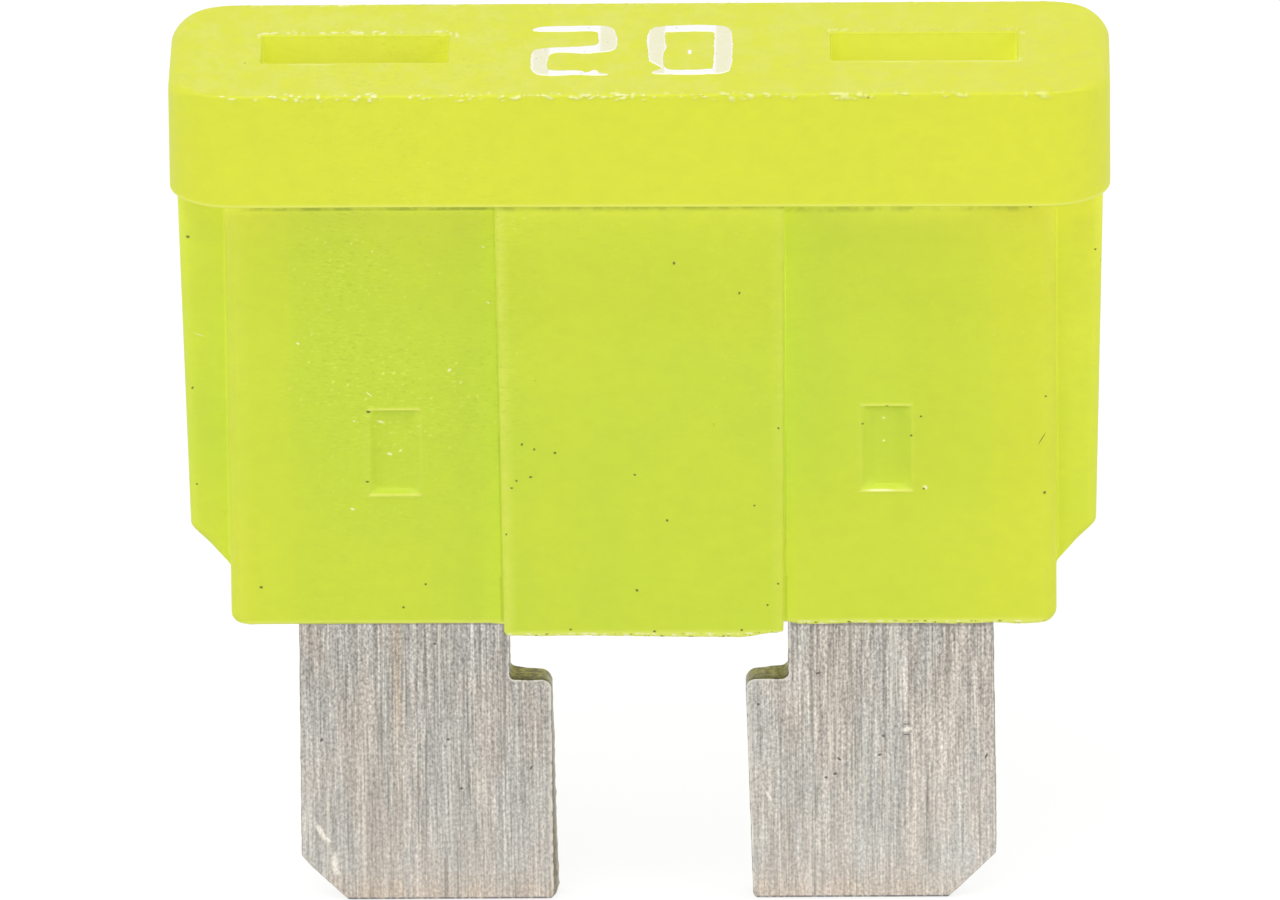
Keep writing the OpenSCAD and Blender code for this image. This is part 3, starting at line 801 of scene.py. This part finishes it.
# Dark specks on the housing's front: across and up in mm, half length, half width, turn in degrees
FRONT_SPECKS = [
    (-9.2, 8.35, 0.036, 0.028, 0), (-9.16, 5.03, 0.03, 0.02, 60), (-7.81, 0.85, 0.033, 0.028, 0),
    (-4.45, 0.9, 0.024, 0.024, 0), (-4.91, 0.39, 0.026, 0.024, 0), (-5.61, 3.17, 0.036, 0.02, 0),
    (-5.57, 4.71, 0.042, 0.026, 0), (4.99, 4.78, 0.034, 0.024, 0), (8.22, 4.98, 0.022, 0.02, 0),
    (4.49, 4.39, 0.024, 0.018, 0), (5.68, 4.55, 0.024, 0.02, 0), (5.48, 4.13, 0.024, 0.022, 0),
    (5.73, 2.96, 0.024, 0.02, 0), (8.19, 2.86, 0.034, 0.026, 60), (8.14, 4.05, 0.14, 0.009, 60),
    (9.24, 7.97, 0.024, 0.022, 0), (9.36, 7.7, 0.036, 0.018, 60), (7.9, 9.17, 0.06, 0.036, -40),
    (0.69, 8.18, 0.026, 0.032, 0), (2.01, 7.52, 0.03, 0.02, 60), (2.78, 4.55, 0.022, 0.022, 0),
    (-2.44, 4.22, 0.03, 0.022, 60), (-2.19, 4.11, 0.02, 0.028, 0), (-1.77, 4.03, 0.028, 0.026, 0),
    (-2.27, 3.5, 0.032, 0.022, 0), (-2.56, 3.42, 0.022, 0.022, 0), (-2.66, 3.26, 0.028, 0.018, 0),
    (-0.15, 3.54, 0.025, 0.022, 0), (0.5, 2.53, 0.024, 0.028, 0), (2.28, 2.85, 0.02, 0.02, 0),
    (-0.13, 0.99, 0.032, 0.026, -40), (-2.78, 2.24, 0.02, 0.022, 0), (2.53, 0.65, 0.022, 0.022, 0),
    (2.75, 1.12, 0.022, 0.022, 0), (-1.49, 0.13, 0.026, 0.022, 0), (0.22, 0.08, 0.03, 0.022, 0),
    (2.0, 0.1, 0.026, 0.024, 0),
]
# Small light nicks on the housing's front, in the same way
FRONT_NICKS = [
    (-5.32, 4.44, 0.07, 0.022, -20), (-5.15, 3.73, 0.05, 0.026, -20), (-4.93, 3.8, 0.036, 0.016, 40),
    (-3.91, 5.62, 0.042, 0.026, 40), (-5.92, 2.57, 0.042, 0.022, -20), (-6.98, 6.22, 0.036, 0.02, -20),
    (-3.19, 8.32, 0.038, 0.015, -40), (-3.1, 7.1, 0.034, 0.018, -20), (-5.86, 4.51, 0.03, 0.012, 0),
    (-5.44, 8.23, 0.02, 0.014, 0), (-3.68, 5.35, 0.025, 0.013, 40), (-5.55, 5.1, 0.07, 0.011, -40),
    (-9.0, 6.2, 0.1, 0.007, -20), (5.76, 2.99, 0.05, 0.034, -40), (4.92, 3.97, 0.022, 0.022, 0),
    (4.84, 2.93, 0.26, 0.018, 0), (4.92, 4.47, 0.024, 0.02, 0),
]


def moulded_plastic():
    """Nylon with yellow dye, injection moulded: a satin skin, a slightly greener tone over the metal strip
    and a clearer yellow in the solid head and edges. The light that spreads inside it is painted into the
    colour, with painted highlights on its edges and painted shade in its hollows and under the head."""
    material, put, place = new_material("translucent_yellow_nylon")
    x, _, z = put("SeparateXYZ", place).outputs
    edge, foot, root, chip, stake, rim, slot, fill_light, lip = (
        put("Attribute", attribute_name=name).outputs["Fac"] for name in HOUSING_MARKS)
    facing = put("SeparateXYZ", put("NewGeometry").outputs["Normal"]).outputs
    flat = put("CombineXYZ", x, z)
    away = put("Math", x, operation="ABSOLUTE")
    off_left = put("Math", put("Math", x, 4.6, operation="ADD"), operation="ABSOLUTE")
    turned = put("VectorRotate", Vector=place, Angle=-0.12, rotation_type="Y_AXIS")

    # Noises: 3 mm clouds, bloom drawn out across the head, mottling of 0.3 mm, wear, crumbs, where scuffs
    # crowd, scuffs and grain, each with its source, lumps per mm, detail, roughness and offset
    clouds, bloom, mottle, wear, crumb, crowd, scuffs, grain = (
        put("TexNoise", Vector=put("Mapping", Vector=source, Location=shift, Scale=per_mm), Scale=1.0,
            Detail=detail, Roughness=rough)
        for source, per_mm, detail, rough, shift in (
            (place, (0.4, 0.4, 0.3), 3, 0.55, AT_ORIGIN), (place, (2.4, 1.2, 2.4), 5, 0.62, AT_ORIGIN),
            (place, (2.6, 2.6, 3.6), 4, 0.6, AT_ORIGIN), (place, (3, 3, 3), 3, 0.5, AT_ORIGIN),
            (place, (7, 7, 13), 2, 0.5, AT_ORIGIN), (place, (0.28, 0.28, 0.28), 1, 0.5, (4, 2, 7)),
            (turned, (6, 6, 17), 2, 0.7, AT_ORIGIN), (place, (9, 9, 9), 3, 0.5, AT_ORIGIN)))

    # Straight ramps: source, from, to, and the values there
    fall_off, drift, thinner, tone, sides, torn, front, rough = (put("MapRange", *ramp) for ramp in (
        (x, 4.5, 7.5, 1.0, -0.3), (clouds, 0.25, 0.75, -0.14, 0.14), (x, 1.0, 8.0, 1.0, 0.55),
        (mottle, 0.3, 0.7, 0.975, 1.02), (x, -3.0, 3.0, 1.0, 0.5), (x, -3.0, -2.8),
        (facing["Y"], -0.35, -0.6), (mottle, 0.3, 0.7, 0.46, 0.58)))
    # Smooth ramps across and up the body for its share of clear yellow
    head, left, middle, right, rise, fall, outer, beside, wing, top = (
        put("MapRange", *ramp, **SMOOTH) for ramp in (
            (z, 9.38, 9.47), (x, -8.9, -6.0, 0.4, 0.08), (x, -3.6, -1.5, 0.0, 0.1), (x, 3.8, 9.4, 0.0, 0.66),
            (z, 5.5, 9.3, 0.0, 0.22), (z, 4.4, 1.2, 0.0, 0.22), (away, 7.0, 7.3, -0.1, 0.0),
            (away, 2.7, 3.0), (away, 8.42, 8.5, 0.0, -0.22), (z, 8.3, 9.1, 0.0, 0.13)))
    # Smooth ramps that cut the noises off and say where on the housing they show
    upward, bloom, uneven, broken, rag, pale, grime, crowd, off_left, up_high, light, dark = (
        put("MapRange", *ramp, **SMOOTH) for ramp in (
            (facing["Z"], 0.6, 0.95), (bloom, 0.4, 0.68, 0.0, 0.1), (wear, 0.35, 0.65, 0.25, 0.45),
            (wear, 0.4, 0.62, 0.42, 0.9), (foot, 0.5, 0.85), (crumb, 0.54, 0.62, 0.0, 0.9),
            (crumb, 0.4, 0.34, 0.0, 0.85), (crowd, 0.35, 0.6, 0.35, 0.8), (off_left, 1.5, 3.0, 1.0, 0.25),
            (z, 3.4, 5.4, 0.4, 1.0), (scuffs, 0.55, 0.72, 0.0, 0.55), (scuffs, 0.44, 0.28, 0.0, 0.35)))
    not_head = put("MapRange", head, 0.0, 1.0, 1.0, 0.4)

    # Share of clear yellow in the colour, less over the metal and at the staked spots. Its rise to the right,
    # on the body and the head, is painted light, and its drop on the set-back wings is painted shade
    fall = put("Math", fall, fall_off, operation="MULTIPLY")
    metal = put("Math", put("Math", outer, fall, operation="ADD"), beside, operation="MULTIPLY")
    gold = put("Math", stake, -0.14, left, operation="MULTIPLY_ADD")
    for part in (middle, right, rise, metal, drift, wing, top):
        gold = put("Math", gold, part, operation="ADD")
    head_gold = put("Math", put("Math", right, drift, operation="ADD"), 0.3, 0.86, operation="MULTIPLY_ADD")
    gold = put("Mix", Factor=head, A=gold, B=head_gold)

    # Listed marks and strewn dashes, ticks and dust
    strewn = put("Math", scattered_marks(put, place, (3.2, 3.2, 7.0), 16, 0.24, 0.3, 3.1),
                 scattered_marks(put, place, (6.5, 3.2, 4.0), -35, 0.22, 0.25, 8.7), operation="MAXIMUM")
    products = []
    for share, *factors in (
            (upward, head, 0.5), (bloom, upward, head, thinner), (slot, 0.9), (edge, uneven, sides),
            (root, broken), (pale, torn, rag), (grime, torn, rag), (crowd, off_left, up_high, not_head),
            (placed_marks(put, flat, FRONT_NICKS), front), (placed_marks(put, flat, FRONT_SPECKS), front)):
        for factor in factors:
            share = put("Math", share, factor, operation="MULTIPLY")
        products.append(share)
    top_light_tone, bloom, clear, lines, hollow, pale, grime, crowd, nicks, specks = products
    light, dark, strewn = (put("Math", share, crowd, operation="MULTIPLY") for share in (light, dark, strewn))
    for mark in (rim, lip, foot):
        lines = put("Math", lines, mark, operation="MAXIMUM")
    lines = put("Math", lines, 0.9, operation="MULTIPLY")
    nicks = put("Clamp", put("Math", nicks, chip, operation="MAXIMUM"))
    dust = scattered_marks(put, place, (1.1, 1.1, 1.1), 30, 0.035, 0.35, 5.3)
    specks = put("Math", specks, dust, operation="MAXIMUM")
    specks = put("Math", specks, 0.85, operation="MULTIPLY", use_clamp=True)

    # Yellow, the head's top in a painted tone for the light from above, its cloudy bloom and the slots
    # painted a bright clear yellow for light through their walls, then mottling and painted light in corners
    colour = "#c5da34"
    for share, code in ((gold, "#dfe432"), (top_light_tone, "#e2e520"), (bloom, "#fbf8cc"), (clear, "#fbff60")):
        colour = put("Mix", Factor=share, A=colour, B=code, data_type="RGBA")
    colour = put("VectorMath", colour, Scale=tone, operation="SCALE")
    # Painted light: the colour is lightened where the body is closed in, most in blue, to offset the shade
    # there
    spread = put("CombineXYZ", fill_light, fill_light, fill_light)
    spread = put("VectorMath", spread, (0.46, 0.41, 1.4), (1, 1, 1), operation="MULTIPLY_ADD")
    colour = put("VectorMath", colour, spread, operation="MULTIPLY")
    # Painted highlights on edges, the lip, the slot's front edge, the staked rims and the foot, painted shade
    # in hollow roots and under the head, pale crumbs and dirt along the foot, light and dark scuffs, strewn
    # marks, white burrs and nicks, and dark specks
    for share, code in ((lines, "#e9ee6a"), (hollow, "#8b9b22"), (pale, "#f6f7c6"), (grime, "#5d6420"),
                        (light, "#e6ee66"), (dark, "#98ac28"), (strewn, "#e8f06c"), (nicks, "#f6f8b2"),
                        (specks, "#3d4210")):
        colour = put("Mix", Factor=share, A=colour, B=code, data_type="RGBA")
    bump = put("Bump", Strength=0.12, Distance=0.02 * MM, Height=grain)
    put("OutputMaterial", put("BsdfPrincipled", Base_Color=colour, Roughness=rough, IOR=1.5, Normal=bump))
    return material


# Brightness noise on the zinc: lumps per mm along each axis, offset, and its darkest and lightest factor.
# The rolls' broad bands come first, then their lines, their fine scratches, and the grain, which is drawn
# about twice as coarse as the real one so that it shows.
STREAKS = [
    ((3.5, 3.5, 0.1), 2, 0.95, 1.05), ((13, 13, 0.3), 6, 0.8, 1.2),
    ((22, 22, 0.8), 9, 0.74, 1.26), ((19, 19, 13), 4, 0.66, 1.34),
]
# Dark pits on the blades' fronts, and light dents and scrapes, as on the housing's front
PITS = [
    (-6.67, -3.2, 0.045, 0.03, 60), (-4.07, -3.2, 0.035, 0.03, 0), (-3.81, -4.3, 0.04, 0.026, 20),
    (-2.37, -3.84, 0.05, 0.024, 60), (-4.32, -1.07, 0.03, 0.024, 0), (3.55, -1.76, 0.05, 0.026, 20),
    (4.87, -3.17, 0.034, 0.028, 0), (4.79, -3.59, 0.045, 0.024, 20), (3.96, -3.68, 0.05, 0.024, -40),
    (3.88, -4.01, 0.045, 0.026, 20), (3.69, -4.09, 0.036, 0.026, 0), (2.31, -2.45, 0.03, 0.026, 0),
    (6.98, -3.63, 0.06, 0.022, 60), (5.34, -2.91, 0.07, 0.012, 0), (5.34, -3.14, 0.07, 0.012, 0),
]
DENTS = [
    (-6.7, -5.27, 0.24, 0.05, -60), (-6.58, -5.42, 0.1, 0.04, -40), (-6.44, -5.95, 0.22, 0.055, 90),
    (-6.4, -6.13, 0.1, 0.05, -60), (5.36, -3.02, 0.085, 0.05, 20), (2.16, -5.4, 0.3, 0.024, 90),
    (2.5, -4.48, 0.09, 0.03, -60),
]


def rolled_zinc():
    """Zinc alloy strip, rolled: fine lines along the blades from the rolls, a sparkling grain, cool and
    warm patches of thin oxide, pits and dents, painted highlights along the burrs, a painted shade line
    under the housing, and rougher, darker cut sides, with a painted reflection of the yellow housing on the
    shoulders."""
    material, put, place = new_material("rolled_zinc_alloy")
    x, y, z = put("SeparateXYZ", place).outputs
    side, burr = (put("Attribute", attribute_name=name).outputs["Fac"] for name in ("side", "burr"))
    upward = put("SeparateXYZ", put("NewGeometry").outputs["Normal"]).outputs["Z"]
    flat = put("CombineXYZ", x, z)
    away = put("Math", x, operation="ABSOLUTE")
    streak = put("Math", put("Math", x, 5.11, operation="ADD"), operation="ABSOLUTE")
    # Slanted height for the painted shade line under the housing
    under_housing_shade = put("Math", x, 0.008, z, operation="MULTIPLY_ADD")

    # Noises: patches of oxide, fine hairs, crumbs of the cut, and the streaks
    patches, hair, crumbs, *streaks = (
        put("TexNoise", Vector=put("Mapping", Vector=place, Location=shift, Scale=per_mm), Scale=1.0,
            Detail=detail, Roughness=rough)
        for per_mm, detail, rough, shift in (
            ((1.6, 1.6, 0.3), 3, 0.6, AT_ORIGIN), ((14, 14, 0.25), 2, 0.5, (1, 5, 3)),
            ((9, 9, 7), 3, 0.5, AT_ORIGIN), *((row[0], 2, 0.6, (row[1],) * 3) for row in STREAKS)))
    streaks = [put("MapRange", noise, 0.28, 0.72, *row[2:]) for noise, row in zip(streaks, STREAKS)]

    # Straight ramps: source, from, to, and the values there
    low, across, coarser, scrape, rough = (put("MapRange", *ramp) for ramp in (
        (z, -0.5, -6.8, 0.9, 1.06), (x, -7.0, 7.0, 0.97, 1.05), (z, -0.7, -6.0, 1.3, 0.82),
        (streaks[-1], 0.75, 1.05, 0.6, 1.0), (patches, 0.3, 0.7, 0.34, 0.46)))
    # Smooth ramps on the faces, then on the cut sides and along their burrs
    tint, tip, streak, fades, bright, scored, under_housing_shade = (put("MapRange", *ramp, **SMOOTH) for ramp in (
        (patches, 0.35, 0.65), (z, -6.0, -6.7, 0.0, 0.18), (streak, 0.03, 0.16, 0.26, 0.0),
        (z, -3.6, -2.4, 0.3, 1.0), (hair, 0.63, 0.7, 0.0, 0.5), (hair, 0.37, 0.3, 0.0, 0.5),
        (under_housing_shade, -0.7, -0.66, 0.0, 0.5)))
    shoulder, patchy, deep, ragged, outer, bottom, smear, at_tip = (
        put("MapRange", *ramp, **SMOOTH) for ramp in (
            (upward, 0.3, 0.8), (crumbs, 0.36, 0.64), (y, -0.28, -0.1, 0.6, 1.05),
            (crumbs, 0.35, 0.55, 0.15, 0.9), (away, 5.7, 6.4, 1.0, 0.15), (z, -6.5, -6.6, 1.0, 0.1),
            (crumbs, 0.4, 0.5, 0.35, 0.85), (z, -6.72, -6.745)))
    products = []
    for share, *factors in (
            (1.0, *streaks), (streak, fades), (placed_marks(put, flat, PITS), 0.8),
            (placed_marks(put, flat, DENTS), scrape), (side, 0.9), (at_tip, smear),
            (burr, ragged, outer, bottom)):
        for factor in factors:
            share = put("Math", share, factor, operation="MULTIPLY")
        products.append(share)
    level, warm, pits, dents, bare, smear, burr_highlight = products
    warm = put("Math", warm, tip, operation="ADD")

    # Brightness of the faces: streaks that are stronger near the housing, on slight slopes over the strip
    level = put("Math", level, 1.0, operation="SUBTRACT")
    level = put("Math", level, coarser, 1.0, operation="MULTIPLY_ADD")
    for part in (low, across):
        level = put("Math", level, part, operation="MULTIPLY")
    # Cut sides, upright ones and the shoulders' level ones, which are painted olive as a reflection of the
    # yellow housing, all darker towards the front
    upright, shoulder_reflection = (put("Mix", Factor=patchy, A=dull, B=clean, data_type="RGBA")
                          for dull, clean in (("#716b52", "#a89e80"), ("#66620f", "#9b952e")))
    cut = put("Mix", Factor=shoulder, A=upright, B=shoulder_reflection, data_type="RGBA")
    cut = put("VectorMath", cut, Scale=deep, operation="SCALE")

    colour = "#bfbcb6"
    for share, code in ((tint, "#c4bcb3"), (warm, "#cfaa80")):
        colour = put("Mix", Factor=share, A=colour, B=code, data_type="RGBA")
    colour = put("VectorMath", colour, Scale=level, operation="SCALE")
    # Hairs, scores, pits, dents, a painted shade line under the housing, cut sides, smeared tips and painted
    # highlights along the burrs
    for share, code in ((bright, "#e4dccf"), (scored, "#858078"), (pits, "#4e4a48"), (dents, "#f4efe2"),
                        (under_housing_shade, "#6d6a5c"), (bare, cut), (smear, "#62646c"), (burr_highlight, "#e2dcd1")):
        colour = put("Mix", Factor=share, A=colour, B=code, data_type="RGBA")
    bump = put("Bump", Strength=0.25, Distance=0.01 * MM, Height=level)
    shader = put("BsdfPrincipled", Base_Color=colour, Roughness=rough, Metallic=1.0, Normal=bump)
    put("OutputMaterial", shader)
    return material


def white_ink():
    """Pad printed ink: matt white, thinner and creamier in the middle of the wide upright strokes, where
    the yellow shows through, with specks of dirt."""
    material, put, place = new_material("stamped_white_ink")
    x, y, _ = put("SeparateXYZ", place).outputs
    core = put("Attribute", attribute_name="core").outputs["Fac"]
    speckle = put("TexNoise", Vector=put("Mapping", Vector=place, Scale=(7, 7, 7)), Scale=1.0, Detail=3.0)
    # Distance from the middle of the nearest of the four upright strokes, by folding x three times
    fold = x
    for shift in (0.14, -1.175, -0.68):
        fold = put("Math", put("Math", fold, shift, operation="ADD"), operation="ABSOLUTE")
    thin = put("MapRange", fold, 0.13, 0.19, 1.0, 0.0, **SMOOTH)
    at_left, at_back, cover = (put("MapRange", *ramp) for ramp in (
        (x, -1.6, -1.5, 1.0, 0.0), (y, 0.5, 0.7), (speckle, 0.3, 0.7, 0.75, 1.0)))
    tip = put("Math", at_left, at_back, operation="MULTIPLY")
    thin = put("Math", thin, tip, operation="SUBTRACT", use_clamp=True)
    for factor in (core, cover):
        thin = put("Math", thin, factor, operation="MULTIPLY")
    colour = "#fefdfc"
    dirt = scattered_marks(put, place, (4, 4, 4), 20, 0.1, 0.8, 2.2)
    for share, code in ((thin, "#f0edc6"), (dirt, "#8c8c70")):
        colour = put("Mix", Factor=share, A=colour, B=code, data_type="RGBA")
    bump = put("Bump", Strength=0.2, Distance=0.01 * MM, Height=speckle)
    put("OutputMaterial", put("BsdfPrincipled", Base_Color=colour, Roughness=0.55, Normal=bump))
    return material


def dress(piece, node, material):
    """Gives a piece its material, hangs it under the root body and hides the CAD node it stands for."""
    piece.data.materials.clear()
    piece.data.materials.append(material)
    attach(piece, "root")
    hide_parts(node)


# Camera: angles in degrees, places in mm, and the picture's pixels per mm and width in pixels
CAMERA_AZIMUTH = 0.788
CAMERA_HEIGHT = 22.459
CAMERA_ROLL = -0.588
CAMERA_DISTANCE = 500.0
CAMERA_SHIFT = (-0.0726, 0.0685)
CAMERA_TARGET = (0.0, 0.0, 3.0)
CAMERA_SCALE = 48.895
FRAME_WIDTH = 1280
SENSOR_WIDTH = 36.0


def make_camera():
    """A long lens from a little above the front, turned and set off as the photograph's was."""
    a, e, r = (math.radians(v) for v in (CAMERA_AZIMUTH, CAMERA_HEIGHT, CAMERA_ROLL))
    back = Vector((math.sin(a) * math.cos(e), -math.cos(a) * math.cos(e), math.sin(e)))
    level = Vector((math.cos(a), math.sin(a), 0))
    rise = Vector((-math.sin(a) * math.sin(e), math.cos(a) * math.sin(e), math.cos(e)))
    right = math.cos(r) * level + math.sin(r) * rise
    up = -math.sin(r) * level + math.cos(r) * rise
    place = Vector(CAMERA_TARGET) + right * CAMERA_SHIFT[0] + up * CAMERA_SHIFT[1] + back * CAMERA_DISTANCE
    data = bpy.data.cameras.new("camera")
    data.sensor_width = SENSOR_WIDTH
    data.lens = SENSOR_WIDTH * CAMERA_DISTANCE * CAMERA_SCALE / FRAME_WIDTH
    data.clip_start, data.clip_end = 0.01, 5.0
    camera = add_object("camera", data)
    camera.matrix_world = Matrix.Translation(place * MM) @ Matrix((right, up, back)).transposed().to_4x4()
    bpy.context.scene.camera = camera


def seen_directly(put):
    """1 for rays from the camera, from glossy faces and through clear ones, 0 for soft light."""
    path = put("LightPath").outputs
    seen = path["Is Camera Ray"]
    for name in ("Is Glossy Ray", "Is Transmission Ray"):
        seen = put("Math", seen, path[name], operation="MAXIMUM")
    return seen


def make_floor():
    """A large pale floor under the blades' tips."""
    mesh = bpy.data.meshes.new("floor")
    half, z = 1.5, BLADE_LOW * MM
    corners = [(-half, -half, z), (half, -half, z), (half, half, z), (-half, half, z)]
    mesh.from_pydata(corners, [], [(0, 1, 2, 3)])
    floor = add_object("floor", mesh)
    material, put, _ = new_material("white_studio_floor")
    glow = put("Emission", Color="#ffffff", Strength=0.82)
    lit = put("AddShader", put("BsdfDiffuse", Color="#888888"), glow)
    both = put("MixShader", seen_directly(put), put("BsdfDiffuse", Color="#e4e4e4"), lit)
    under = put("NewGeometry").outputs["Backfacing"]
    put("OutputMaterial", put("MixShader", under, both, put("BsdfTransparent")))
    mesh.materials.append(material)


# Lamps: name, place in metres, side of the square in metres, watts
LAMPS = [
    ("high_lamp", (-0.08, -0.2, 0.34), 0.25, 0.4),
    ("front_lamp", (-0.06, -0.42, 0.1), 0.25, 0.06),
    ("left_lamp", (-0.34, -0.16, 0.14), 0.2, 0.2),
    ("right_lamp", (0.34, -0.16, 0.14), 0.2, 0.28),
]


def make_light():
    """An even white surround, and soft lamps above, in front and at both sides."""
    world = bpy.data.worlds.new("studio")
    bpy.context.scene.world = world
    world.use_nodes = True
    world.node_tree.nodes.clear()
    put = partial(add_node, world.node_tree)
    level = put("MapRange", seen_directly(put), 0.0, 1.0, 0.7, 1.0)
    put("OutputWorld", put("Background", Color="#ffffff", Strength=level))
    for name, place, size, watts in LAMPS:
        data = bpy.data.lights.new(name, "AREA")
        data.shape, data.size, data.energy = "SQUARE", size, watts
        lamp = add_object(name, data)
        lamp.location = place
        lamp.rotation_euler = (-Vector(place)).to_track_quat("-Z", "Y").to_euler()


dress(make_housing(), "housing", moulded_plastic())
dress(make_strip(), "fuse_element", rolled_zinc())
dress(make_digits(), "rating_digits", white_ink())
make_camera()
make_floor()
make_light()
bpy.context.scene.view_settings.view_transform = "Standard"
